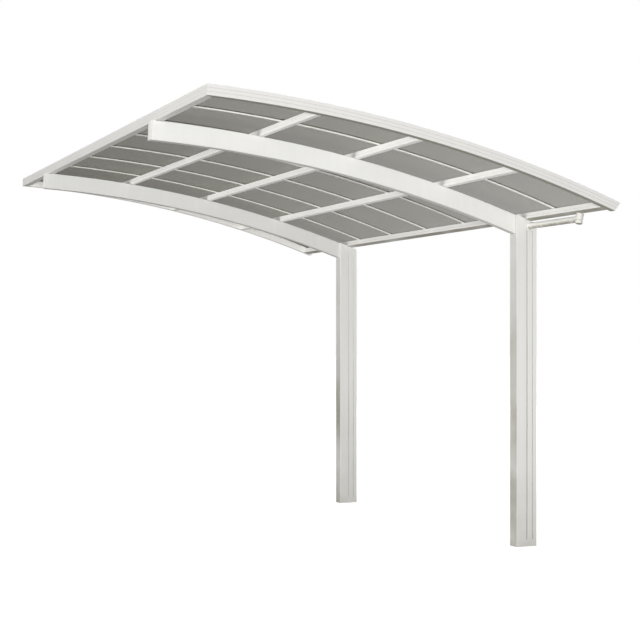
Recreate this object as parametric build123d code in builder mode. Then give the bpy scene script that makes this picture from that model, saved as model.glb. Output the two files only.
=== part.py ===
from build123d import *
import os
from math import asin, cos, degrees, radians, sin

# Cantilever carport for one car: two posts on one side carry two curved arches, and the arches
# carry an aluminium roof frame glazed with smoked polycarbonate.
# X runs across the bay, from the open eave (-) to the posts (+). Y runs along the bay, from the
# front post to the rear one. Z is up. The origin is the middle of the front post's foot.
# All sizes are in millimetres.

os.makedirs("parts", exist_ok=True)

# Roof outline
ROOF_LENGTH = 4950            # along Y, over both gable rails
ROOF_ARC = 2807               # across the roof, along the curve, over both eave rails
ROOF_END_RUN = 26             # gable rails, bars and panels run on past the low eave rail
EAVE_X = -2708                # outer face of the high eave rail

# Roof curve: one circle about an axis along Y. Its crest lies just outside the high eave.
ARCH_RADIUS = 9512            # top faces of the arches
CREST_X = -3135
CREST_Z = 2835

# Posts
POST_SPACING = 2960
POST_DEPTH = 91.5             # along Y
POST_WIDTH = 80               # along X, the load-bearing tube
CHANNEL_WIDTH = 84            # along X, the downpipe channel on the post's outer side
POST_WALL = 4
POST_CORNER = 3
SHOE_HEIGHT = 50
SHOE_WALL = 8
SHOE_FLOOR = 12
POST_SOLID_HEAD_Z = 2190      # the tube is solid above this, where the arch is bolted on
CHANNEL_TOP_Z = 2222
CHANNEL_WALL = 2.5
JOINT_GAP = 7                 # shadow joint between the post and its channel
JOINT_DEPTH = 7
FLUTE_WIDTH = 11              # shallow flute down the channel's front and rear faces
FLUTE_DEPTH = 5
FLUTE_X = 45

# Arches
ARCH_WIDTH = 60               # along Y
ARCH_DEPTH = 125              # radially
ARCH_WALL = 4
ARCH_CORNER = 4
ARCH_OVERRUN = 22             # past the high eave rail, along the curve
CAP_THICKNESS = 8
CAP_INSET = 0.5               # an end cap's outline is this much smaller than its profile

# Roof frame
SEAT_GAP = 0.2                # between pieces that lie on each other
RAIL_WIDTH = 50
RAIL_HEIGHT = 66
RAIL_WALL = 3
RAIL_CORNER = 1.5             # chamfer
RAIL_GROOVE_WIDTH = 2.5
RAIL_GROOVE_DEPTH = 1
LEDGE_WIDTH = 14              # flange inside the rails that the panel edges lie on
LEDGE_THICKNESS = 3
LOW_RAIL_HEIGHT = 43.6        # the low eave rail and the purlins
PURLIN_WIDTH = 30
PURLIN_WALL = 2
PURLIN_CORNER = 1.5
PURLIN_COUNT = 3
GROOVE_LEVEL = 18             # height of the groove in a purlin's side
RAIL_END_TILT = 37            # gable rail's low end, degrees from upright
MITRE_SPARE = 20              # rail ends run on this far before their mitres are cut

# Glazing
PANEL_COUNT = 8
PANEL_THICKNESS = 4
BAR_DROP = 7                  # bar depth below the panels
BAR_FOOT_WIDTH = 18
BAR_WEB = 4
BAR_CAP_WIDTH = 26
BAR_CAP_THICKNESS = 4
PANEL_CLEARANCE = 0.5         # at each panel edge

# Rain pipe under the low eave, and the outlet that joins it to the low eave rail
PIPE_X = 30
PIPE_Z = 2257
PIPE_DIAMETER = 44
PIPE_WALL = 3
OUTLET_Y = -645
OUTLET_DIAMETER = 50
OUTLET_LEAN = 11              # degrees from upright, towards the posts' outer side
OUTLET_DROP = 36              # from the pipe's axis to the outlet's closed bottom
OUTLET_EDGE = 9               # rounding of its closed bottom
SOCKET_DIAMETER = 51
SOCKET_REACH = 34             # from the outlet's axis to the open end of its pipe socket
SOCKET_OVERLAP = 28           # length of the socket, part of it inside the outlet
SOCKET_DEPTH = 15

# Worked out from the sizes above
FRONT_Y = (POST_SPACING - ROOF_LENGTH) / 2
REAR_Y = FRONT_Y + ROOF_LENGTH
MIDDLE_Y = POST_SPACING / 2
FOOT_WIDTH = POST_WIDTH + CHANNEL_WIDTH
POST_X = (POST_WIDTH - FOOT_WIDTH) / 2
CHANNEL_START = POST_X + POST_WIDTH / 2
CURVE_Z = CREST_Z - ARCH_RADIUS
CURVE_AXIS = Axis((CREST_X, 0, CURVE_Z), (0, 1, 0))
ARCH_MIDDLE_RADIUS = ARCH_RADIUS - ARCH_DEPTH / 2
FRAME_RADIUS = ARCH_RADIUS + SEAT_GAP
PURLIN_TOP_RADIUS = FRAME_RADIUS + LOW_RAIL_HEIGHT
BAR_RADIUS = PURLIN_TOP_RADIUS + SEAT_GAP
PANEL_RADIUS = BAR_RADIUS + BAR_DROP
PANEL_PITCH = ROOF_LENGTH / PANEL_COUNT
EAVE_ANGLE = degrees(asin((EAVE_X - CREST_X) / ARCH_RADIUS))
ARCH_END_ANGLE = degrees(asin(-CREST_X / ARCH_MIDDLE_RADIUS))    # at X = 0, inside the post
ROOF_END = ROOF_ARC + ROOF_END_RUN


def angle_at(run):
    """Angle from upright, in degrees, at a distance along the curve from the high eave."""
    return EAVE_ANGLE + degrees(run / ARCH_RADIUS)


def outward(angle):
    """Direction away from the curve's axis."""
    return (sin(radians(angle)), 0, cos(radians(angle)))


def downhill(angle):
    """Direction along the curve, from the high eave to the low one."""
    return (cos(radians(angle)), 0, -sin(radians(angle)))


def on_curve(angle, radius, y=0.0):
    """Point at an angle and a radius on the roof curve."""
    return (CREST_X + radius * sin(radians(angle)), y, CURVE_Z + radius * cos(radians(angle)))


def cross_plane(angle):
    """Plane through the curve's axis: local x is Y, local y is the radius."""
    return Plane(origin=(CREST_X, 0, CURVE_Z), x_dir=(0, 1, 0), z_dir=downhill(angle))


def along_plane(run, y):
    """Upright plane across Y that stands on the roof frame: local x is downhill, local y outward."""
    angle = angle_at(run)
    return Plane(origin=on_curve(angle, FRAME_RADIUS, y), x_dir=downhill(angle), z_dir=(0, -1, 0))


def write(piece, node):
    """Labels a finished piece and writes its file."""
    piece.part.label = node
    export_step(piece.part, f"parts/{node}.step")


def trim_to_curve():
    """Cuts the open part off at the top faces of the arches."""
    with Locations(Location((CREST_X, MIDDLE_Y, CURVE_Z), (90, 0, 0))):
        Cylinder(radius=ARCH_RADIUS, height=ROOF_LENGTH, mode=Mode.INTERSECT)


# Posts, each with its shoe, its downpipe channel and the head above the channel. The post is an
# aluminium tube, cut to the curve at the top and closed where the arch is bolted to it.
for place, post_y in (("front", 0), ("rear", POST_SPACING)):
    with BuildPart() as shoe:
        with BuildSketch(Plane.XY):
            with Locations((0, post_y)):
                RectangleRounded(FOOT_WIDTH, POST_DEPTH, POST_CORNER)
        extrude(amount=SHOE_HEIGHT)
        with BuildSketch(Plane.XY.offset(SHOE_FLOOR)):
            with Locations((0, post_y)):
                Rectangle(FOOT_WIDTH - 2 * SHOE_WALL, POST_DEPTH - 2 * SHOE_WALL)
        extrude(amount=SHOE_HEIGHT, mode=Mode.SUBTRACT)
    write(shoe, f"{place}_foot_shoe")

    with BuildPart() as post:
        with BuildSketch(Plane.XY.offset(SHOE_HEIGHT)):
            with Locations((POST_X, post_y)):
                RectangleRounded(POST_WIDTH, POST_DEPTH, POST_CORNER)
        extrude(amount=CREST_Z)
        with BuildSketch(Plane.XY.offset(SHOE_HEIGHT)):
            with Locations((POST_X, post_y)):
                Rectangle(POST_WIDTH - 2 * POST_WALL, POST_DEPTH - 2 * POST_WALL)
        extrude(amount=POST_SOLID_HEAD_Z - SHOE_HEIGHT, mode=Mode.SUBTRACT)
        trim_to_curve()
    write(post, f"{place}_post")

    with BuildPart() as channel:
        channel_x = CHANNEL_START + (CHANNEL_WIDTH + JOINT_GAP) / 2
        with BuildSketch(Plane.XY.offset(SHOE_HEIGHT)):
            with Locations((channel_x, post_y)):
                RectangleRounded(CHANNEL_WIDTH - JOINT_GAP, POST_DEPTH, POST_CORNER)
            with Locations((CHANNEL_START + JOINT_GAP, post_y)):
                Rectangle(2 * JOINT_GAP, POST_DEPTH - 2 * JOINT_DEPTH)
            with Locations((FLUTE_X, post_y - POST_DEPTH / 2), (FLUTE_X, post_y + POST_DEPTH / 2)):
                Rectangle(FLUTE_WIDTH, 2 * FLUTE_DEPTH, mode=Mode.SUBTRACT)
            with Locations((channel_x, post_y)):
                bore_width = CHANNEL_WIDTH - JOINT_GAP - 2 * CHANNEL_WALL
                bore_depth = POST_DEPTH - 2 * (FLUTE_DEPTH + CHANNEL_WALL)
                Rectangle(bore_width, bore_depth, mode=Mode.SUBTRACT)
        extrude(amount=CHANNEL_TOP_Z - SHOE_HEIGHT)
    write(channel, f"{place}_downpipe_channel")

    with BuildPart() as head:
        with BuildSketch(Plane.XY.offset(CHANNEL_TOP_Z)):
            with Locations((CHANNEL_START + CHANNEL_WIDTH / 2, post_y)):
                RectangleRounded(CHANNEL_WIDTH, POST_DEPTH, POST_CORNER)
        extrude(amount=CREST_Z - CHANNEL_TOP_Z)
        trim_to_curve()
    write(head, f"{place}_post_head")

# Arches: curved aluminium tubes that reach from the post across the bay, with a plastic cap on
# the free end.
ARCH_START = angle_at(-ARCH_OVERRUN)
for place, post_y in (("front", 0), ("rear", POST_SPACING)):
    with BuildPart() as arch:
        with BuildSketch(cross_plane(ARCH_START)):
            with Locations((post_y, ARCH_MIDDLE_RADIUS)):
                RectangleRounded(ARCH_WIDTH, ARCH_DEPTH, ARCH_CORNER)
                Rectangle(ARCH_WIDTH - 2 * ARCH_WALL, ARCH_DEPTH - 2 * ARCH_WALL, mode=Mode.SUBTRACT)
        revolve(axis=CURVE_AXIS, revolution_arc=ARCH_END_ANGLE - ARCH_START)
        split(bisect_by=Plane.YZ.offset(-FOOT_WIDTH / 2), keep=Keep.BOTTOM)
    write(arch, f"{place}_arch")

    with BuildPart() as arch_cap:
        cap_plane = Plane(
            origin=on_curve(ARCH_START, ARCH_MIDDLE_RADIUS, post_y),
            x_dir=(0, -1, 0),
            z_dir=tuple(-value for value in downhill(ARCH_START)),
        )
        with BuildSketch(cap_plane):
            RectangleRounded(ARCH_WIDTH - 2 * CAP_INSET, ARCH_DEPTH - 2 * CAP_INSET, ARCH_CORNER)
        extrude(amount=CAP_THICKNESS)
        fillet(arch_cap.faces().sort_by(Axis.X)[0].edges(), radius=CAP_THICKNESS / 4)
    write(arch_cap, f"{place}_arch_cap")


def rail_profile():
    """Rail section: local x is inward from the outer face, local y is up from the underside."""
    with Locations((RAIL_WIDTH / 2, RAIL_HEIGHT / 2)):
        outline = Rectangle(RAIL_WIDTH, RAIL_HEIGHT)
    chamfer(outline.vertices(), length=RAIL_CORNER)
    with Locations((RAIL_WIDTH, PANEL_RADIUS - FRAME_RADIUS - SEAT_GAP)):
        Rectangle(LEDGE_WIDTH, LEDGE_THICKNESS, align=(Align.MIN, Align.MAX))
    with Locations((0, RAIL_HEIGHT / 3), (0, RAIL_HEIGHT * 2 / 3)):
        Rectangle(2 * RAIL_GROOVE_DEPTH, RAIL_GROOVE_WIDTH, mode=Mode.SUBTRACT)
    with Locations((RAIL_WIDTH / 2, RAIL_HEIGHT / 2)):
        Rectangle(RAIL_WIDTH - 2 * RAIL_WALL, RAIL_HEIGHT - 2 * RAIL_WALL, mode=Mode.SUBTRACT)


def mitre_plane(y, inward):
    """Upright plane at 45 degrees through a high corner of the roof, facing the gable rail."""
    down_x, _, down_z = downhill(EAVE_ANGLE)
    return Plane(
        origin=on_curve(EAVE_ANGLE, FRAME_RADIUS, y),
        x_dir=outward(EAVE_ANGLE),
        z_dir=(down_x, -inward, down_z),
    )


# High eave rail, straight, mitred into both gable rails.
with BuildPart() as high_eave_rail:
    with BuildSketch(along_plane(0, REAR_Y + MITRE_SPARE)):
        rail_profile()
    extrude(amount=ROOF_LENGTH + 2 * MITRE_SPARE)
    split(bisect_by=mitre_plane(FRONT_Y, 1), keep=Keep.BOTTOM)
    split(bisect_by=mitre_plane(REAR_Y, -1), keep=Keep.BOTTOM)
write(high_eave_rail, "high_eave_rail")

# Gable rails, bent to the roof curve. Each is mitred at the high eave, and its low end is cut
# on a slant and closed by a cap.
GABLE_START = angle_at(-MITRE_SPARE)
GABLE_SWEEP = angle_at(ROOF_END + RAIL_HEIGHT) - GABLE_START
END_CUT = Plane(
    origin=on_curve(angle_at(ROOF_END), FRAME_RADIUS),
    x_dir=(0, 1, 0),
    z_dir=downhill(RAIL_END_TILT),
)
for place, outer_y, inward in (("front", FRONT_Y, 1), ("rear", REAR_Y, -1)):
    gable_plane = Plane(
        origin=on_curve(GABLE_START, FRAME_RADIUS, outer_y),
        x_dir=(0, inward, 0),
        z_dir=tuple(inward * value for value in downhill(GABLE_START)),
    )
    with BuildPart() as gable_rail:
        with BuildSketch(gable_plane):
            rail_profile()
        revolve(axis=CURVE_AXIS, revolution_arc=GABLE_SWEEP)
        split(bisect_by=mitre_plane(outer_y, inward), keep=Keep.TOP)
        split(bisect_by=END_CUT, keep=Keep.BOTTOM)
    write(gable_rail, f"{place}_gable_rail")

    with BuildPart() as gable_cap:
        with BuildSketch(gable_plane):
            with Locations((RAIL_WIDTH / 2, RAIL_HEIGHT / 2)):
                outline = Rectangle(RAIL_WIDTH - 2 * CAP_INSET, RAIL_HEIGHT - 2 * CAP_INSET)
            chamfer(outline.vertices(), length=RAIL_CORNER)
        revolve(axis=CURVE_AXIS, revolution_arc=GABLE_SWEEP)
        split(bisect_by=END_CUT, keep=Keep.TOP)
        split(bisect_by=END_CUT.offset(CAP_THICKNESS / 2), keep=Keep.BOTTOM)
    write(gable_cap, f"{place}_gable_cap")


def straight_member(width, wall, middle_run):
    """Tube along Y between the gable rails, square to the curve, with a groove in each side."""
    with BuildPart() as member:
        with BuildSketch(along_plane(middle_run, REAR_Y - RAIL_WIDTH)):
            with Locations((0, LOW_RAIL_HEIGHT / 2)):
                RectangleRounded(width, LOW_RAIL_HEIGHT, PURLIN_CORNER)
                Rectangle(width - 2 * wall, LOW_RAIL_HEIGHT - 2 * wall, mode=Mode.SUBTRACT)
            with Locations((-width / 2, GROOVE_LEVEL), (width / 2, GROOVE_LEVEL)):
                Rectangle(2 * RAIL_GROOVE_DEPTH, RAIL_GROOVE_WIDTH, mode=Mode.SUBTRACT)
        extrude(amount=ROOF_LENGTH - 2 * RAIL_WIDTH)
    return member


# Low eave rail above the posts, and the purlins between the two eaves, at equal spacing.
low_run = ROOF_ARC - RAIL_WIDTH / 2
write(straight_member(RAIL_WIDTH, RAIL_WALL, low_run), "low_eave_rail")

purlin_pitch = (ROOF_ARC - RAIL_WIDTH) / (PURLIN_COUNT + 1)
for number in range(1, PURLIN_COUNT + 1):
    purlin = straight_member(PURLIN_WIDTH, PURLIN_WALL, RAIL_WIDTH / 2 + number * purlin_pitch)
    write(purlin, f"purlin_{number}")

# Glazing bars: aluminium H-sections bent to the curve, one at each joint between two panels.
BAR_START = angle_at(RAIL_WIDTH + LEDGE_WIDTH + PANEL_CLEARANCE)
for number in range(1, PANEL_COUNT):
    bar_y = FRONT_Y + number * PANEL_PITCH
    with BuildPart() as bar:
        with BuildSketch(cross_plane(BAR_START)):
            with Locations((bar_y, BAR_RADIUS)):
                Rectangle(BAR_FOOT_WIDTH, BAR_DROP, align=(Align.CENTER, Align.MIN))
            with Locations((bar_y, PANEL_RADIUS + PANEL_THICKNESS / 2)):
                Rectangle(BAR_WEB, PANEL_THICKNESS + 4 * SEAT_GAP)
            with Locations((bar_y, PANEL_RADIUS + PANEL_THICKNESS + 2 * SEAT_GAP)):
                Rectangle(BAR_CAP_WIDTH, BAR_CAP_THICKNESS, align=(Align.CENTER, Align.MIN))
        revolve(axis=CURVE_AXIS, revolution_arc=angle_at(ROOF_END) - BAR_START)
    write(bar, f"glazing_bar_{number}")

# Roof panels: smoked polycarbonate sheets, each bent over the full width of the roof.
PANEL_START = angle_at(RAIL_WIDTH + PANEL_CLEARANCE)
for number in range(PANEL_COUNT):
    edge_gap = BAR_WEB / 2 + PANEL_CLEARANCE
    low_y = max(FRONT_Y + number * PANEL_PITCH + edge_gap, FRONT_Y + RAIL_WIDTH + PANEL_CLEARANCE)
    high_y = min(FRONT_Y + (number + 1) * PANEL_PITCH - edge_gap, REAR_Y - RAIL_WIDTH - PANEL_CLEARANCE)
    with BuildPart() as panel:
        with BuildSketch(cross_plane(PANEL_START)):
            with Locations(((low_y + high_y) / 2, PANEL_RADIUS + SEAT_GAP)):
                Rectangle(high_y - low_y, PANEL_THICKNESS, align=(Align.CENTER, Align.MIN))
        revolve(axis=CURVE_AXIS, revolution_arc=angle_at(ROOF_END) - PANEL_START)
    write(panel, f"roof_panel_{number + 1}")

# Rain pipe: it runs forward from the front post's head, under the low eave, to the outlet.
pipe_plane = Plane(origin=(PIPE_X, -POST_DEPTH / 2, PIPE_Z), x_dir=(1, 0, 0), z_dir=(0, -1, 0))
pipe_end_y = OUTLET_Y + SOCKET_REACH - SOCKET_DEPTH
with BuildPart() as rain_pipe:
    with BuildSketch(pipe_plane):
        Circle(PIPE_DIAMETER / 2)
        Circle(PIPE_DIAMETER / 2 - PIPE_WALL, mode=Mode.SUBTRACT)
    extrude(amount=-POST_DEPTH / 2 - pipe_end_y - SEAT_GAP)
write(rain_pipe, "rain_pipe")

# Rain outlet: a moulding between the low eave rail's underside and the pipe, turned a little on
# the pipe's end. It is closed at its foot and has a socket on its side for the pipe.
outlet_axis = Plane(
    origin=(PIPE_X, OUTLET_Y, PIPE_Z),
    x_dir=downhill(OUTLET_LEAN),
    z_dir=outward(OUTLET_LEAN),
)
socket_plane = Plane(origin=(PIPE_X, OUTLET_Y + SOCKET_REACH, PIPE_Z), x_dir=(1, 0, 0), z_dir=(0, -1, 0))
with BuildPart() as rain_outlet:
    with BuildSketch(outlet_axis.offset(-OUTLET_DROP)):
        Circle(OUTLET_DIAMETER / 2)
    extrude(amount=CREST_Z - PIPE_Z)
    fillet(rain_outlet.edges().sort_by(Axis.Z)[0], radius=OUTLET_EDGE)
    with BuildSketch(socket_plane):
        Circle(SOCKET_DIAMETER / 2)
    extrude(amount=SOCKET_OVERLAP)
    with BuildSketch(socket_plane):
        Circle(PIPE_DIAMETER / 2 + SEAT_GAP)
    extrude(amount=SOCKET_DEPTH, mode=Mode.SUBTRACT)
    rail_underside = Plane(
        origin=on_curve(angle_at(low_run), FRAME_RADIUS - SEAT_GAP),
        x_dir=downhill(angle_at(low_run)),
        z_dir=outward(angle_at(low_run)),
    )
    split(bisect_by=rail_underside, keep=Keep.BOTTOM)
write(rain_outlet, "rain_outlet")
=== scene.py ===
from math import asin, cos, pi, radians, sin, tan

import bmesh
import bpy
from mathutils import Matrix, Vector


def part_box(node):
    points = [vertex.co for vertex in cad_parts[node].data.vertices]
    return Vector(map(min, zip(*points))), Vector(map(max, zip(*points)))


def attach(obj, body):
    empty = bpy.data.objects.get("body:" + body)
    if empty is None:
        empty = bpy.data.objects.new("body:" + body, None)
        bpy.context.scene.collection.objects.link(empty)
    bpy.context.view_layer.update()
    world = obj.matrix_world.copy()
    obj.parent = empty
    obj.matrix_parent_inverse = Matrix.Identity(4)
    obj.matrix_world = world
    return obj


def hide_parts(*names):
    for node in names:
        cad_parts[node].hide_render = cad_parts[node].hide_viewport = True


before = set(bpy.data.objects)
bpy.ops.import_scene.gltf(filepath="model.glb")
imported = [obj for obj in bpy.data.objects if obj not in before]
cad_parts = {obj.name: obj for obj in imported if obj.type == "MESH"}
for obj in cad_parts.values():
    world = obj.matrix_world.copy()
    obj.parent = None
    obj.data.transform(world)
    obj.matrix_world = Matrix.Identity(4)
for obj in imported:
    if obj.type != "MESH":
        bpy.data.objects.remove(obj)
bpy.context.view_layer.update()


# Studio
# The camera stands at chest height on the bay's open side, in front of the entrance. A white
# backdrop, brightest overhead, and three soft lamps light the carport: one in front of it, one
# at its left, and one behind it at its right.

camera = bpy.data.objects.new("camera", bpy.data.cameras.new("camera"))
bpy.context.scene.collection.objects.link(camera)
bpy.context.scene.camera = camera
camera.data.sensor_width = 36
camera.data.lens = 78.2
camera.data.shift_y = 0.0375
camera.location = (-5.2925, -8.401, 1.4248)
camera.rotation_euler = (radians(90), 0, radians(-23.893))
bpy.context.scene.view_settings.view_transform = "Standard"


def linear(colour, share=1):
    """Linear red, green, blue and alpha of an sRGB hex colour, times a share of its light."""
    parts = [int(colour[first:first + 2], 16) / 255 for first in (1, 3, 5)]
    parts = [part / 12.92 if part <= 0.04045 else ((part + 0.055) / 1.055) ** 2.4 for part in parts]
    return [part * share for part in parts] + [1]


def wire(tree, target, inputs):
    """Sets a node's inputs to values, or links them to outputs. A node stands for its first one."""
    for name, value in inputs.items():
        if isinstance(value, bpy.types.Node):
            value = next(output for output in value.outputs if output.enabled)
        if isinstance(value, bpy.types.NodeSocket):
            tree.links.new(value, target.inputs[name])
        else:
            target.inputs[name].default_value = value


def node(tree, kind, inputs, **settings):
    """Adds a shader node with its settings, its values and its links."""
    added = tree.nodes.new("ShaderNode" + kind)
    for name, value in settings.items():
        setattr(added, name, value)
    wire(tree, added, inputs)
    return added


# Light from round about: soft from below, dim at the horizon and strongest overhead. To the
# camera the backdrop is plain white.
studio = bpy.data.worlds.new("studio")
bpy.context.scene.world = studio
studio.use_nodes = True
tree = studio.node_tree
tree.nodes.clear()
direction = node(tree, "TexCoord", {}).outputs["Generated"]
height = node(tree, "SeparateXYZ", {"Vector": direction}).outputs["Z"]
upward = node(tree, "MapRange", {"Value": height, "From Min": -1})
light = node(tree, "ValToRGB", {"Fac": upward})
levels = [
    (0, "#a1a09d"), (0.36, "#a1a09d"), (0.4, "#50504f"), (0.53, "#50504f"),
    (0.57, "#6c6d6f"), (0.81, "#6c6d6f"), (0.87, "#ffffff"),
]
while len(light.color_ramp.elements) < len(levels):
    light.color_ramp.elements.new(1)
for stop, (position, colour) in zip(light.color_ramp.elements, levels):
    stop.position = position
    stop.color = linear(colour)
overhead = node(tree, "MapRange", {
    "Value": height, "From Min": 0.62, "From Max": 0.74, "To Min": 1, "To Max": 1.22})
seen = node(tree, "LightPath", {}).outputs["Is Camera Ray"]
backdrop = node(tree, "MixRGB", {"Fac": seen, "Color1": light, "Color2": linear("#ffffff")})
strength = node(tree, "Mix", {0: seen, 2: overhead, 3: 1.0})
glow = node(tree, "Background", {"Color": backdrop, "Strength": strength})
node(tree, "OutputWorld", {"Surface": glow})

lamp_size = 3.4
bay_middle = Vector((-1.3, 1.5, 2))
lamps = (
    ("front_lamp", (-7.5, -17, 0.1), 2540),
    ("side_lamp", (-22, 0, 2.6), 2150),
    ("back_lamp", (15, 17, 3.4), 1500),
)
for name, stand, power in lamps:
    lamp = bpy.data.objects.new(name, bpy.data.lights.new(name, "AREA"))
    bpy.context.scene.collection.objects.link(lamp)
    lamp.data.shape = "DISK"
    lamp.data.size = lamp_size
    lamp.data.energy = power
    lamp.location = stand
    lamp.rotation_euler = (bay_middle - lamp.location).to_track_quat("-Z", "Y").to_euler()
    lamp.visible_camera = False


def start_material(name):
    """Starts a material. Gives it, its node tree, its shader, and the place on the object."""
    material = bpy.data.materials.new(name)
    material.use_nodes = True
    tree = material.node_tree
    place = node(tree, "TexCoord", {}).outputs["Object"]
    return material, tree, tree.nodes["Principled BSDF"], place


# Floor: a matt painted studio floor. It is a little luminous, so that it meets the backdrop
# without a line, and it neither lights nor shades the carport.
floor_reach, cloud_width = 150, 0.8
shape = bmesh.new()
bmesh.ops.create_circle(shape, cap_ends=True, segments=96, radius=floor_reach)
floor_mesh = bpy.data.meshes.new("floor")
shape.to_mesh(floor_mesh)
shape.free()
floor = bpy.data.objects.new("floor", floor_mesh)
bpy.context.scene.collection.objects.link(floor)
floor.visible_diffuse = False
floor.visible_glossy = False
floor.visible_shadow = False
paint, tree, shader, place = start_material("matt_floor_paint")
cloud = node(tree, "TexNoise", {"Vector": place, "Scale": 1 / cloud_width, "Detail": 3})
tone = node(tree, "MixRGB", {
    "Fac": cloud, "Color1": linear("#c4c3bf"), "Color2": linear("#cbcac7")})
wire(tree, shader, {
    "Base Color": tone, "Roughness": 0.9,
    "Emission Color": linear("#ffffff"), "Emission Strength": 0.7})
floor_mesh.materials.append(paint)


# Posts
# Each post is an extruded aluminium tube in a cast foot shoe. A channel for the downpipe is
# clipped to its outer side, and a solid head closes the channel under the roof.

mm = 0.001  # in Blender's metres


def powder_coat(name, colour, shade_line=0.05, bay_side_shade=0.0, underside_shade=0.0, joint_shade=0.65):
    """Satin white powder coat on aluminium, baked on.

    To the eye it is even and bright, with a soft sheen that a fine orange peel breaks up. The
    coat is thinner on the arrises. Painted shade darkens the joints and grooves, the undersides
    and the side towards the bay, more so lower down.
    """
    material, tree, shader, place = start_material(name)

    # Film thickness varies in clouds about 400 mm wide, and rain leaves faint upright streaks.
    cloud = node(tree, "TexNoise", {"Vector": place, "Scale": 1 / (400 * mm), "Detail": 3})
    upright = node(tree, "Mapping", {"Vector": place, "Scale": (1, 1, 0.04)})
    streak = node(tree, "TexNoise", {"Vector": upright, "Scale": 1 / (30 * mm), "Detail": 2})
    patch = node(tree, "Math", {0: cloud, 1: streak}, operation="MULTIPLY")
    patch = node(tree, "MapRange", {"Value": patch, "From Min": 0.1, "From Max": 0.45})
    coat = node(tree, "MixRGB", {
        "Fac": patch, "Color1": linear(colour, 0.955), "Color2": linear(colour)})

    # The arrises, 1.5 mm wide, show a little of the metal's grey through the thin coat.
    flat = node(tree, "NewGeometry", {}).outputs["Normal"]
    rounded = node(tree, "Bevel", {"Radius": 1.5 * mm}, samples=4)
    likeness = node(tree, "VectorMath", {0: flat, 1: rounded}, operation="DOT_PRODUCT")
    arris = node(tree, "MapRange", {
        "Value": likeness, "From Min": 0.98, "From Max": 0.8, "To Max": 0.35})
    coat = node(tree, "MixRGB", {"Fac": arris, "Color1": coat, "Color2": linear("#c9cac8")})

    # Painted shade: darker below the shade line and more so towards the ground, on faces towards
    # the bay and more so lower down, on undersides, and in joints and grooves up to 9 mm wide.
    level = node(tree, "SeparateXYZ", {"Vector": place}).outputs["Z"]
    low = node(tree, "MapRange", {"Value": level, "From Min": shade_line, "From Max": 0})
    low_shade = node(tree, "Math", {0: low, 1: low}, operation="MULTIPLY")
    bay_side = node(tree, "VectorMath", {0: flat, 1: (-1, 0, 0)}, operation="DOT_PRODUCT")
    painted_shade = node(tree, "MapRange", {
        "Value": level, "From Min": 3.2, "From Max": 0.4, "To Max": 2 * bay_side_shade})
    painted_shade = node(tree, "Math", {0: bay_side, 1: painted_shade}, operation="MULTIPLY")
    shade_mask = node(tree, "Math", {0: painted_shade, 1: low_shade}, operation="MAXIMUM")
    down = (0, 0, -2 * underside_shade)
    underside = node(tree, "VectorMath", {0: flat, 1: down}, operation="DOT_PRODUCT")
    shade_mask = node(tree, "Math", {0: underside, 1: shade_mask}, operation="MAXIMUM")
    shade_mask = node(tree, "Math", {0: shade_mask, 1: cloud}, operation="MULTIPLY")
    # Painted shade in joints and grooves, where the occlusion is deep.
    shelter = node(tree, "AmbientOcclusion", {"Distance": 9 * mm}, samples=4).outputs["AO"]
    painted_joint_shade = node(tree, "MapRange", {
        "Value": shelter, "From Min": 0.8, "From Max": 0.3, "To Max": joint_shade})
    shade_mask = node(tree, "Math", {0: shade_mask, 1: painted_joint_shade}, operation="ADD", use_clamp=True)
    coat = node(tree, "MixRGB", {"Fac": shade_mask, "Color1": coat, "Color2": linear("#9e9b91")})

    # Sheen: satin, and duller where the shade is painted.
    satin = node(tree, "MapRange", {"Value": cloud, "To Min": 0.34, "To Max": 0.46})
    satin = node(tree, "Math", {0: shade_mask, 1: 0.3, 2: satin}, operation="MULTIPLY_ADD")

    # Orange peel: really 1 to 3 mm wide, drawn 6 mm wide so that it shows.
    peel = node(tree, "TexNoise", {"Vector": place, "Scale": 1 / (6 * mm), "Detail": 1})
    bump = node(tree, "Bump", {"Height": peel, "Distance": 0.05 * mm})
    wire(tree, shader, {"Base Color": coat, "Roughness": satin, "Normal": bump})
    return material


# Painted shade on the posts below 1.4 m and on the bay side. The rear post's joints hardly show, so
# they get less.
post_shade = {"shade_line": 1.4, "bay_side_shade": 0.8}
post_coat = powder_coat("powder_coated_post", "#ebeae7", **post_shade)
rear_coat = powder_coat("powder_coated_rear_post", "#ebeae7", joint_shade=0.1, **post_shade)
for end, coat in (("front", post_coat), ("rear", rear_coat)):
    for part in ("foot_shoe", "post", "downpipe_channel", "post_head"):
        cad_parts[f"{end}_{part}"].material_slots[0].material = coat


def join_loops(shape, loops):
    """Joins each loop of points to the next with a band of faces."""
    for near, far in zip(loops, loops[1:]):
        for index in range(len(near)):
            shape.faces.new((near[index - 1], near[index], far[index], far[index - 1]))


def turned(shape, seat, out, rings, sides=24):
    """Adds a closed turned shape. Seat is the middle of its foot, and out the way it points.

    A ring is (radius, level), or (half width across flats, level, "hexagon") for a socket.
    """
    turn = Vector(out).to_track_quat("Z", "X")
    loops = []
    for radius, level, *form in rings:
        loop = []
        for side in range(sides):
            angle = 2 * pi * side / sides
            reach = radius / cos((angle + pi / 6) % (pi / 3) - pi / 6) if form else radius
            point = Vector((reach * cos(angle), reach * sin(angle), level))
            loop.append(shape.verts.new(Vector(seat) + turn @ point))
        loops.append(loop)
    join_loops(shape, loops)
    shape.faces.new(reversed(loops[0]))
    shape.faces.new(loops[-1])


def screw(shape, seat, out, size):
    """Adds a button-head screw with a hexagon socket. Size is the head's width and height."""
    head, height = size
    rings = [
        (0.5 * head, 0),
        (0.5 * head, 0.3 * height),
        (0.46 * head, 0.65 * height),
        (0.38 * head, 0.92 * height),
        (0.28 * head, height),
        (0.21 * head, height, "hexagon"),
        (0.21 * head, 0.4 * height, "hexagon"),
    ]
    turned(shape, seat, out, rings)


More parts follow.
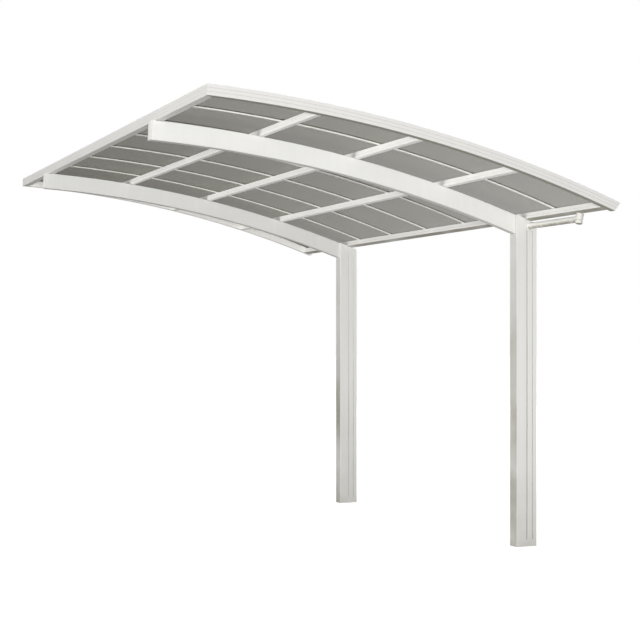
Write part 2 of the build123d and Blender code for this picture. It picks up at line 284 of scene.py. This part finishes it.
def piece(name, shape, material, stands_for=(), ease=0.0):
    """Makes a piece of a mesh: its eased edges, smooth shading and finish, and what it rides on."""
    bmesh.ops.recalc_face_normals(shape, faces=shape.faces)
    mesh = bpy.data.meshes.new(name)
    shape.to_mesh(mesh)
    shape.free()
    mesh.shade_smooth()
    mesh.materials.append(material)
    made = bpy.data.objects.new(name, mesh)
    bpy.context.scene.collection.objects.link(made)
    if ease:
        edges = made.modifiers.new("eased_edges", "BEVEL")
        edges.width = ease
        edges.segments = 2
        edges.limit_method = "ANGLE"
        edges.angle_limit = radians(40)
        made.modifiers.new("flat_faces", "WEIGHTED_NORMAL")
    else:
        mesh.set_sharp_from_angle(angle=radians(35))
    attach(made, "root")
    if stands_for:
        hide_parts(*stands_for)


def stainless_steel():
    """A2 stainless steel, cold headed. It is a grey, half-bright metal with fine turning marks."""
    material, tree, shader, place = start_material("stainless_steel_screw")

    # The marks are really about 0.2 mm wide, drawn 1.5 mm wide so that they show.
    marks = node(tree, "TexNoise", {"Vector": place, "Scale": 1 / (1.5 * mm), "Detail": 2})
    tone = node(tree, "MixRGB", {
        "Fac": marks, "Color1": linear("#a5a5a2"), "Color2": linear("#c4c4c1")})
    rough = node(tree, "MapRange", {"Value": marks, "To Min": 0.25, "To Max": 0.42})
    bump = node(tree, "Bump", {"Height": marks, "Distance": 0.02 * mm})
    wire(tree, shader, {"Base Color": tone, "Metallic": 1, "Roughness": rough, "Normal": bump})
    return material


# Screws on the outer side of each post: four hold the channel's cover, two tie the head to the
# arch, and two clamp the shoe. All are M6 to M10 with button heads.
steel = stainless_steel()
cover_screw, cover_screw_levels = (12 * mm, 3.5 * mm), (250 * mm, 850 * mm, 1450 * mm, 2050 * mm)
head_screw, head_screw_reach = (18 * mm, 5 * mm), 22 * mm
shoe_screw, shoe_screw_reach, shoe_screw_level = (14 * mm, 4 * mm), 28 * mm, 25 * mm
outward = (1, 0, 0)
for end in ("front", "rear"):
    channel_low, channel_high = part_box(f"{end}_downpipe_channel")
    head_low, head_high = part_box(f"{end}_post_head")
    head_screw_level = head_low.z + 0.4 * (head_high.z - head_low.z)
    middle_y = (channel_low.y + channel_high.y) / 2
    shape = bmesh.new()
    for level in cover_screw_levels:
        screw(shape, (channel_high.x, middle_y, level), outward, cover_screw)
    for side in (-1, 1):
        at_head = (head_high.x, middle_y + side * head_screw_reach, head_screw_level)
        screw(shape, at_head, outward, head_screw)
        at_shoe = (channel_high.x, middle_y + side * shoe_screw_reach, shoe_screw_level)
        screw(shape, at_shoe, outward, shoe_screw)
    piece(f"{end}_post_screws", shape, steel)


# Arches
# Two extruded aluminium box sections, 60 by 125 mm, bent to the roof curve and bolted into the
# post heads. A moulded cap closes the free end of each.

curve_x, curve_z = -3135 * mm, -6677 * mm
arch_top = 9512 * mm  # radius of the arches' upper sides
high_eave_x = -2708 * mm
eave_angle = asin((high_eave_x - curve_x) / arch_top)


def on_curve(angle, radius, y):
    """Point on the roof curve, whose axis runs along Y below the high eave."""
    return Vector((curve_x + radius * sin(angle), y, curve_z + radius * cos(angle)))


def angle_at(run):
    """Angle from upright at a distance along the curve from the high eave."""
    return eave_angle + run / arch_top


def section(corners, steps=5):
    """Outline of a section from its corners (across, up, radius), in mm, as points in metres."""
    points = []
    for before, corner, after in zip(corners[-1:] + corners, corners, corners[1:] + corners[:1]):
        here, radius = Vector(corner[:2]), corner[2]
        if radius == 0:
            points.append(here * mm)
            continue
        back = (Vector(before[:2]) - here).normalized()
        ahead = (Vector(after[:2]) - here).normalized()
        half = back.angle(ahead) / 2
        middle = here + (back + ahead).normalized() * radius / sin(half)
        first = back * radius / tan(half) + here - middle
        last = ahead * radius / tan(half) + here - middle
        for step in range(steps + 1):
            points.append((middle + first.lerp(last, step / steps).normalized() * radius) * mm)
    return points


def oblong(left, right, bottom, top, radius):
    """Corners of an oblong section, all with one radius."""
    corners = [(left, bottom), (right, bottom), (right, top), (left, top)]
    return [(across, up, radius) for across, up in corners]


def member(shape, outline, way, lengths=1):
    """Adds a closed length of a section. Way(across, up, share) places a point of the outline."""
    loops = []
    for length in range(lengths + 1):
        loops.append([shape.verts.new(way(across, up, length / lengths)) for across, up in outline])
    join_loops(shape, loops)
    shape.faces.new(loops[0])
    shape.faces.new(reversed(loops[-1]))


def along_curve(start, end, seat=0.0, middle_y=0.0):
    """Way along the roof curve from one angle to another. Up is counted from the seat."""
    def way(across, up, share):
        return on_curve(start + (end - start) * share, seat + up, middle_y + across)
    return way


def moulded_plastic():
    """Weatherproof white plastic, injection moulded. It is a shade warmer and glossier than the
    coat beside it, with a very fine spark-eroded grain."""
    material, tree, shader, place = start_material("moulded_cap_plastic")
    flow = node(tree, "TexNoise", {"Vector": place, "Scale": 1 / (60 * mm), "Detail": 3})
    tone = node(tree, "MixRGB", {
        "Fac": flow, "Color1": linear("#e2e1da"), "Color2": linear("#edece7")})
    rough = node(tree, "MapRange", {"Value": flow, "To Min": 0.3, "To Max": 0.42})

    # The grain is really about 0.1 mm wide, drawn 2 mm wide so that it shows.
    grain = node(tree, "TexNoise", {"Vector": place, "Scale": 1 / (2 * mm), "Detail": 1})
    bump = node(tree, "Bump", {"Height": grain, "Distance": 0.03 * mm})
    wire(tree, shader, {"Base Color": tone, "Roughness": rough, "Normal": bump})
    return material


# Painted shade on both arches' undersides. The rear arch stands deeper under the roof, in more
# shade than these lamps give it, so its coat is drawn greyer: painted shade.
arch_coat = powder_coat("powder_coated_arch", "#efefec", underside_shade=0.3)
shaded_rear_arch_coat = powder_coat("powder_coated_rear_arch", "#e2e2df", underside_shade=0.3)
cap_plastic = moulded_plastic()

# The heights in these two outlines are radii of the roof curve.
arch_outline = section(oblong(-30, 30, 9387, 9512, 4))
cap_outline = section(oblong(-29.5, 29.5, 9387.5, 9511.5, 4))
arch_overhang = 22 * mm
arch_start = angle_at(-arch_overhang)
cap_length, cap_gap = 8 * mm, 0.4 * mm
cap_start = arch_start - cap_length / arch_top
cap_end = arch_start - cap_gap / arch_top
for end, coat in (("front", arch_coat), ("rear", shaded_rear_arch_coat)):
    post_low, post_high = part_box(f"{end}_post")
    middle_y = (post_low.y + post_high.y) / 2

    def along_arch(across, up, share):
        post_angle = asin((post_low.x - curve_x) / up)
        return on_curve(arch_start + (post_angle - arch_start) * share, up, middle_y + across)

    shape = bmesh.new()
    member(shape, arch_outline, along_arch, lengths=64)
    piece(f"{end}_arch_section", shape, coat, [f"{end}_arch"], ease=0.5 * mm)
    shape = bmesh.new()
    member(shape, cap_outline, along_curve(cap_start, cap_end, middle_y=middle_y))
    piece(f"{end}_arch_end_cap", shape, cap_plastic, [f"{end}_arch_cap"],
          ease=1.5 * mm)


# Purlins and low eave rail
# Straight extruded tubes that lie across both arches, between the gable rails, square to the
# curve. The purlins and the high eave rail are held down by an angle cleat behind each arch.

# The purlins' coat is drawn brighter than the arches': painted light. The low eave rail's underside
# gets painted shade.
purlin_coat = powder_coat("powder_coated_purlin", "#f9f8f5")
eave_coat = powder_coat("powder_coated_low_eave_rail", "#efeeeb", underside_shade=0.95)
for name in ("purlin_1", "purlin_2", "purlin_3"):
    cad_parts[name].material_slots[0].material = purlin_coat
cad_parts["low_eave_rail"].material_slots[0].material = eave_coat


def square_to_roof(angle):
    """Way straight up from the roof curve."""
    return on_curve(angle, 1, 0) - on_curve(angle, 0, 0)


high_rail_run, low_rail_run = 25 * mm, 2782 * mm  # the eave rails' middles, along the curve
purlin_pitch = (low_rail_run - high_rail_run) / 4
cleat_thickness, cleat_width = 3 * mm, 28 * mm
cleat_screw, cleat_screw_reach = (10 * mm, 3 * mm), 22 * mm
cleat_outline = section(
    [(0, 0, 1), (38, 0, 1), (38, -3, 1), (3, -3, 2), (3, -38, 1), (0, -38, 1)], steps=3)
for end in ("front", "rear"):
    arch_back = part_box(f"{end}_arch")[1].y
    for number in range(4):
        angle = angle_at(high_rail_run + number * purlin_pitch)

        def along_cleat(across, up, share):
            radius = arch_top + up
            turn = (share - 0.5) * cleat_width / radius
            return on_curve(angle + turn, radius, arch_back + across)

        shape = bmesh.new()
        member(shape, cleat_outline, along_cleat)
        piece(f"{end}_cleat_{number}", shape, arch_coat, ease=0.3 * mm)
        shape = bmesh.new()
        under = on_curve(angle, arch_top - cleat_thickness, arch_back + cleat_screw_reach)
        screw(shape, under, -square_to_roof(angle), cleat_screw)
        beside = on_curve(angle, arch_top - cleat_screw_reach, arch_back + cleat_thickness)
        screw(shape, beside, (0, 1, 0), cleat_screw)
        piece(f"{end}_cleat_screws_{number}", shape, steel)


# Roof frame
# The high eave rail and the two gable rails share one extruded section: a box with two fine
# grooves outside and a ledge inside for the glazing. They are mitred at the high corners.

# The rails' coat is drawn greyer than the arches': painted shade. The front gable rail's
# underside is darkened with painted shade too. The rear gable rail takes the purlins' brighter
# coat: painted light.
rail_coat = powder_coat("powder_coated_rail", "#e2e1de")
gable_coat = powder_coat("powder_coated_front_gable_rail", "#e2e1de", underside_shade=2.5)
rail_outline = section([
    (0, 0, 1.5), (50, 0, 1.5), (50, 47.8, 0.5), (64, 47.8, 0.5), (64, 50.8, 0.5), (50, 50.8, 0.5),
    (50, 65.98, 1.5), (0, 65.98, 1.5),
    (0, 45.25, 0.3), (1, 45.25, 0.3), (1, 42.75, 0.3), (0, 42.75, 0.3),
    (0, 23.25, 0.3), (1, 23.25, 0.3), (1, 20.75, 0.3), (0, 20.75, 0.3),
], steps=3)
rail_cap_outline = section(oblong(0.5, 49.5, 0.5, 65.5, 1.5), steps=3)
rail_cap_gap, rail_cap_thickness = 0.3 * mm, 3.6 * mm
rail_width, ledge_end, clearance = 50 * mm, 64 * mm, 0.5 * mm
frame_seat = 9512.2 * mm  # radius of the rails' undersides
roof_end = 2833 * mm  # where the frame and the sheets end, along the curve
rail_end_tilt = radians(37)
front_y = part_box("front_gable_rail")[0].y
rear_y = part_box("rear_gable_rail")[1].y


def along_high_eave(across, up, share):
    """Way along the high eave rail, mitred at both ends."""
    origin = on_curve(eave_angle, frame_seat, 0)
    down = Vector((cos(eave_angle), 0, -sin(eave_angle)))
    out = Vector((sin(eave_angle), 0, cos(eave_angle)))
    y = front_y + across + share * (rear_y - front_y - 2 * across)
    return origin + down * across + out * up + Vector((0, y, 0))


shape = bmesh.new()
member(shape, rail_outline, along_high_eave)
piece("high_eave_fascia", shape, rail_coat, ["high_eave_rail"], ease=0.4 * mm)


def cut_angle(radius, past=0.0):
    """Angle at which the slanted cut across a gable rail's low end meets a radius."""
    reach = frame_seat * sin(angle_at(roof_end) - rail_end_tilt) + past
    return rail_end_tilt + asin(reach / radius)


def along_gable(outer_y, inward):
    """Way along a gable rail, from the mitre at the high corner to the cut at the low end."""
    def way(across, up, share):
        radius = frame_seat + up
        start = eave_angle + asin(across / radius)
        angle = start + (cut_angle(radius) - start) * share
        return on_curve(angle, radius, outer_y + inward * across)
    return way


gables = (("front", gable_coat, front_y, 1), ("rear", purlin_coat, rear_y, -1))
for end, coat, outer_y, inward in gables:
    shape = bmesh.new()
    member(shape, rail_outline, along_gable(outer_y, inward), lengths=64)
    piece(f"{end}_gable_fascia", shape, coat, [f"{end}_gable_rail"],
          ease=0.4 * mm)

    def along_gable_cap(across, up, share):
        radius = frame_seat + up
        past = rail_cap_gap + rail_cap_thickness * share
        return on_curve(cut_angle(radius, past), radius, outer_y + inward * across)

    shape = bmesh.new()
    member(shape, rail_cap_outline, along_gable_cap)
    piece(f"{end}_gable_end_cap", shape, cap_plastic, [f"{end}_gable_cap"],
          ease=1 * mm)


# Glazing bars
# Extruded aluminium bars bent to the curve, one under each joint between two sheets. A rubber
# lip along each side seals to the sheets, and a cover strip is screwed down on top.

bar_coat = powder_coat("powder_coated_bar", "#f9f8f5")
bays = 8
bay_pitch = (rear_y - front_y) / bays
bar_seat = 9556 * mm  # radius of the bars' undersides
bar_start, bar_end = angle_at(ledge_end + clearance), angle_at(roof_end)
cover_start = angle_at(56 * mm)
bar_outline = section([
    (-9, 0, 0.8), (9, 0, 0.8), (9, 7, 0.3), (7.5, 7, 0.2), (7.5, 6.2, 0.2), (2, 6.2, 0.3),
    (2, 11.6, 0), (-2, 11.6, 0), (-2, 6.2, 0.3), (-7.5, 6.2, 0.2), (-7.5, 7, 0.2), (-9, 7, 0.3),
], steps=3)
cover_outline = section([
    (-13, 11.6, 0.3), (13, 11.6, 0.3), (13, 12.4, 0.3),
    (8, 13.8, 8), (-8, 13.8, 8), (-13, 12.4, 0.3),
], steps=4)
lip_outline = section([(3, 6.3, 0.2), (7, 6.3, 0.2), (6.4, 7.3, 0.2), (3.6, 7.3, 0.2)], steps=3)
cover_lip_outline = section(oblong(4, 8, 11.3, 11.6, 0.1), steps=1)


def rubber():
    """EPDM rubber, extruded. It is matt black with a patchy grey bloom."""
    material, tree, shader, place = start_material("epdm_rubber")
    bloom = node(tree, "TexNoise", {"Vector": place, "Scale": 1 / (25 * mm), "Detail": 4})
    tone = node(tree, "MixRGB", {
        "Fac": bloom, "Color1": linear("#1b1b1b"), "Color2": linear("#353433")})
    rough = node(tree, "MapRange", {"Value": bloom, "To Min": 0.6, "To Max": 0.8})
    bump = node(tree, "Bump", {"Height": bloom, "Distance": 0.1 * mm})
    wire(tree, shader, {"Base Color": tone, "Roughness": rough, "Normal": bump})
    return material


black_rubber = rubber()
bar_screw, bar_screw_level = (9 * mm, 3.2 * mm), 14.4 * mm
washer_rings, washer_level = [(6 * mm, 0), (6 * mm, 0.6 * mm), (4 * mm, 1.0 * mm)], 13.6 * mm
screw_runs = [high_rail_run + number * purlin_pitch for number in (1, 2, 3)]
screw_runs += [120 * mm, low_rail_run]
for number in range(1, bays):
    bar_y = front_y + number * bay_pitch
    along_bar = along_curve(bar_start, bar_end, bar_seat, bar_y)

    def along_other_side(across, up, share):
        return along_bar(-across, up, share)

    shape = bmesh.new()
    member(shape, bar_outline, along_bar, lengths=48)
    piece(f"glazing_bar_{number}_web", shape, bar_coat,
          [f"glazing_bar_{number}"], ease=0.2 * mm)
    shape = bmesh.new()
    for way in (along_bar, along_other_side):
        member(shape, lip_outline, way, lengths=48)
        member(shape, cover_lip_outline, way, lengths=48)
    piece(f"glazing_bar_{number}_seals", shape, black_rubber)
    shape = bmesh.new()
    member(shape, cover_outline, along_curve(cover_start, bar_end, bar_seat, bar_y), lengths=48)
    piece(f"glazing_bar_{number}_cover", shape, bar_coat, ease=0.2 * mm)
    screws, washers = bmesh.new(), bmesh.new()
    for run in screw_runs:
        angle = angle_at(run)
        washer_seat = on_curve(angle, bar_seat + washer_level, bar_y)
        turned(washers, washer_seat, square_to_roof(angle), washer_rings)
        screw_seat = on_curve(angle, bar_seat + bar_screw_level, bar_y)
        screw(screws, screw_seat, square_to_roof(angle), bar_screw)
    piece(f"glazing_bar_{number}_screws", screws, steel)
    piece(f"glazing_bar_{number}_washers", washers, black_rubber)


# Sheets
# Eight smoked polycarbonate sheets, 4 mm thick and extruded flat, each bent over the whole
# width of the roof. Their edges lie on the bars and on the rails' ledges.


def smoked_polycarbonate():
    """Grey-brown tinted polycarbonate. Square on it lets half the light through, and less at a
    slant. The skin is glossy on top and satin below, and the sheet is not quite flat."""
    material, tree, shader, place = start_material("smoked_polycarbonate_sheet")
    drift = node(tree, "TexNoise", {"Vector": place, "Scale": 1 / (700 * mm), "Detail": 2})
    tone = node(tree, "MixRGB", {
        "Fac": drift, "Color1": linear("#57512e"), "Color2": linear("#5f5938")})

    # Each sheet has two surfaces, and each of them passes the square root of the sheet's share.
    # Light enters the plastic at one and leaves it at the other, where the index is turned over.
    index = 1.58
    geometry = node(tree, "NewGeometry", {})
    index_met = node(tree, "MapRange", {
        "Value": geometry.outputs["Backfacing"], "To Min": index, "To Max": 1 / index})
    mirror = node(tree, "Fresnel", {"IOR": index_met})
    solid = node(tree, "Math", {0: mirror, 1: 0.85, 2: 0.25}, operation="MULTIPLY_ADD")

    # Rain leaves faint marks on the top, and a haze of dust dulls both sides.
    haze = node(tree, "TexNoise", {"Vector": place, "Scale": 1 / (180 * mm), "Detail": 5})
    haze = node(tree, "MapRange", {"Value": haze, "To Min": -0.05, "To Max": 0.07})
    upward = node(tree, "SeparateXYZ", {"Vector": geometry.outputs["Normal"]}).outputs["Z"]
    skin = node(tree, "MapRange", {
        "Value": upward, "From Min": -0.2, "From Max": 0.2, "To Min": 0.5, "To Max": 0.17})
    rough = node(tree, "Math", {0: haze, 1: skin}, operation="ADD")
    bump = node(tree, "Bump", {"Height": drift, "Distance": 0.3 * mm})
    wire(tree, shader, {
        "Base Color": tone, "Alpha": solid, "Roughness": rough, "Normal": bump,
        "IOR": index, "Specular IOR Level": 0.12})
    return material


def between_bars(number, bar_gap, rail_gap):
    """Lowest and highest y of a bay, clear of the bars' middles and the gable rails' outsides."""
    low_y = max(front_y + number * bay_pitch + bar_gap, front_y + rail_gap)
    high_y = min(front_y + (number + 1) * bay_pitch - bar_gap, rear_y - rail_gap)
    return low_y, high_y


sheet_plastic = smoked_polycarbonate()
sheet_seat, sheet_top = 9563.4 * mm, 9567.2 * mm  # radii of a sheet's two faces
sheet_gap = 2.5 * mm
along_sheet = along_curve(angle_at(rail_width + clearance), bar_end)
for number in range(bays):
    low_y, high_y = between_bars(number, sheet_gap, rail_width + clearance)
    sheet_outline = [
        (low_y, sheet_seat), (high_y, sheet_seat), (high_y, sheet_top), (low_y, sheet_top)]
    shape = bmesh.new()
    member(shape, sheet_outline, along_sheet, lengths=48)
    piece(f"polycarbonate_sheet_{number + 1}", shape, sheet_plastic,
          [f"roof_panel_{number + 1}"], ease=0.3 * mm)

# Wedge seals of rubber, pressed in between the sheets' edges and the rails beside them.
wedge_outline = section(
    [(50, 55.1, 0.2), (55, 55.1, 0.4), (54.6, 56.6, 0.4), (52, 60, 1), (50, 60.6, 0.2)], steps=2)
shape = bmesh.new()
member(shape, wedge_outline, along_high_eave)
member(shape, wedge_outline, along_gable(front_y, 1), lengths=64)
member(shape, wedge_outline, along_gable(rear_y, -1), lengths=64)
piece("sheet_wedge_seals", shape, black_rubber)

# Closer strips of rubber fill the gap between the low eave rail and the sheets, bar to bar.
rail_angle = angle_at(low_rail_run)
rail_way = square_to_roof(rail_angle)
rail_down = Vector((cos(rail_angle), 0, -sin(rail_angle)))
closer_outline = section([(-6, 43.7, 0.5), (6, 43.7, 0.5), (4, 51.1, 1), (-4, 51.1, 1)], steps=2)
closer_gap = 9.3 * mm
shape = bmesh.new()
for number in range(bays):
    low_y, high_y = between_bars(number, closer_gap, ledge_end + clearance)

    def along_closer(across, up, share):
        y = low_y + (high_y - low_y) * share
        return on_curve(rail_angle, frame_seat + up, y) + rail_down * across

    member(shape, closer_outline, along_closer)
piece("low_eave_closer_strips", shape, black_rubber)


# Rain pipe
# A stub of white PVC pipe that runs forward from the front post's head, under the low eave. It is
# pushed into the outlet, a PVC moulding glued to the underside of the low eave rail.


def pvc(name, colour):
    """White unplasticised PVC. It is smooth and glossy with faint lines along the pipe, and its
    underside is drawn darker in patches: painted shade."""
    material, tree, shader, place = start_material(name)

    # The lines are really under 1 mm wide, drawn 4 mm wide so that they show.
    lengthways = node(tree, "Mapping", {"Vector": place, "Scale": (1, 0.02, 1)})
    lines = node(tree, "TexNoise", {"Vector": lengthways, "Scale": 1 / (4 * mm), "Detail": 2})
    tone = node(tree, "MixRGB", {
        "Fac": lines, "Color1": linear(colour), "Color2": linear(colour, 1.04)})
    normal = node(tree, "NewGeometry", {}).outputs["Normal"]
    upward = node(tree, "SeparateXYZ", {"Vector": normal}).outputs["Z"]
    # Painted shade: darker in patches on the faces that look down.
    painted_shade = node(tree, "MapRange", {
        "Value": upward, "From Min": 0.05, "From Max": -0.7, "To Max": 1.6})
    patch = node(tree, "TexNoise", {"Vector": place, "Scale": 1 / (50 * mm), "Detail": 3})
    painted_shade = node(tree, "Math", {0: painted_shade, 1: patch}, operation="MULTIPLY")
    tone = node(tree, "MixRGB", {"Fac": painted_shade, "Color1": tone, "Color2": linear("#8b8779")})
    rough = node(tree, "MapRange", {"Value": lines, "To Min": 0.22, "To Max": 0.34})
    bump = node(tree, "Bump", {"Height": lines, "Distance": 0.05 * mm})
    wire(tree, shader, {"Base Color": tone, "Roughness": rough, "Normal": bump})
    return material


pipe_plastic = pvc("extruded_white_pvc", "#e4e3de")
pipe_low, pipe_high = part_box("rain_pipe")
pipe_radius, pipe_length = 22 * mm, pipe_high.y - pipe_low.y
pipe_seat = Vector(((pipe_low.x + pipe_high.x) / 2, pipe_high.y, (pipe_low.z + pipe_high.z) / 2))
forward = (0, -1, 0)
shape = bmesh.new()
turned(shape, pipe_seat, forward, [(pipe_radius, 0), (pipe_radius, pipe_length)], sides=64)
piece("rain_pipe_stub", shape, pipe_plastic, ["rain_pipe"])

# Sealant: a bead round the pipe where it leaves the post's head.
pipe_bead = [(24.5 * mm, 0), (24.3 * mm, 0.8 * mm), (23.5 * mm, 1.7 * mm), (22.2 * mm, 2.4 * mm)]
shape = bmesh.new()
turned(shape, pipe_seat, forward, pipe_bead, sides=64)
piece("rain_pipe_sealant", shape, pipe_plastic)

# Outlet: a body cut to the rail's slope, a pipe socket, and a ribbed cleaning cap. It is turned a
# little on the pipe's end, so that it leans towards the posts' outer side.
# The moulding's white is drawn a little darker than the pipe's: painted shade.
outlet_plastic = pvc("moulded_white_pvc", "#dcdbd6")
outlet_low, outlet_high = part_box("rain_outlet")
outlet_radius, outlet_drop = 25 * mm, 36 * mm
lean = Matrix.Rotation(radians(11), 3, "Y")
outlet_way = lean @ Vector((0, 0, 1))
outlet_axis = Vector((pipe_seat.x, outlet_low.y + outlet_radius, pipe_seat.z))
outlet_seat = outlet_axis - outlet_way * outlet_drop
glue_line = 0.2 * mm
rail_underside = on_curve(rail_angle, frame_seat, outlet_seat.y) - rail_way * glue_line
body_level, uncut_length = 27 * mm, 90 * mm
body_seat = outlet_seat + outlet_way * body_level
body_rings = [(24 * mm, 0), (24.8 * mm, 0.8 * mm), (24.8 * mm, uncut_length)]
shape = bmesh.new()
turned(shape, body_seat, outlet_way, body_rings, sides=64)
everything = shape.verts[:] + shape.edges[:] + shape.faces[:]
bmesh.ops.bisect_plane(
    shape, geom=everything, plane_co=rail_underside, plane_no=rail_way, clear_outer=True)
bmesh.ops.edgeloop_fill(shape, edges=[edge for edge in shape.edges if edge.is_boundary])
piece("rain_outlet_body", shape, outlet_plastic, ["rain_outlet"])

socket_outline = [(23, 0), (25, 2), (25, 14), (25.5, 15), (25.5, 23.4), (25, 24), (23.6, 24)]
socket_length = 24 * mm
socket_seat = Vector((pipe_seat.x, outlet_high.y - socket_length, pipe_seat.z))
socket_rings = [(radius * mm, level * mm) for radius, level in socket_outline]
shape = bmesh.new()
turned(shape, socket_seat, (0, 1, 0), socket_rings, sides=64)
piece("rain_outlet_socket", shape, outlet_plastic)

ribs, rib_foot, rib_top = 48, 24.4 * mm, 25 * mm
grip = []
for side in range(ribs):
    for share, reach in ((0, rib_foot), (0.25, rib_top), (0.6, rib_top), (0.85, rib_foot)):
        angle = 2 * pi * (side + share) / ribs
        grip.append(Vector((reach * cos(angle), reach * sin(angle))))
cap_rings = (  # scale, level in mm, and form
    (0.62, 0, "plain"), (0.78, 1, "plain"), (0.9, 3, "plain"), (0.97, 5.8, "plain"),
    (1, 9, "ribbed"), (1, 24.5, "ribbed"), (0.99, 25.6, "plain"), (0.96, 26.2, "plain"),
)
shape = bmesh.new()
rings = []
for scale, level, form in cap_rings:
    ring = []
    for point in grip:
        point = (point if form == "ribbed" else point.normalized() * rib_foot) * scale
        ring.append(shape.verts.new(outlet_seat + lean @ Vector((point.x, point.y, level * mm))))
    rings.append(ring)
join_loops(shape, rings)
shape.faces.new(reversed(rings[0]))
shape.faces.new(rings[-1])
piece("rain_outlet_cleaning_cap", shape, outlet_plastic)

# Sealant: a bead round the outlet's top, which follows the rail's slope.
outlet_bead = ((24.2, 0.1), (27.2, 0.1), (26.4, 1.1), (25.6, 2), (24.9, 2.8), (24.2, 2.8))
shape = bmesh.new()
loops = []
for side in range(64):
    angle = 2 * pi * side / 64
    loop = []
    for radius, drop in outlet_bead:
        point = outlet_seat + lean @ Vector((radius * mm * cos(angle), radius * mm * sin(angle), 0))
        rise = (rail_underside - point).dot(rail_way) - drop * mm
        loop.append(shape.verts.new(point + outlet_way * rise / outlet_way.dot(rail_way)))
    loops.append(loop)
join_loops(shape, loops[-1:] + loops)
piece("rain_outlet_sealant", shape, outlet_plastic)
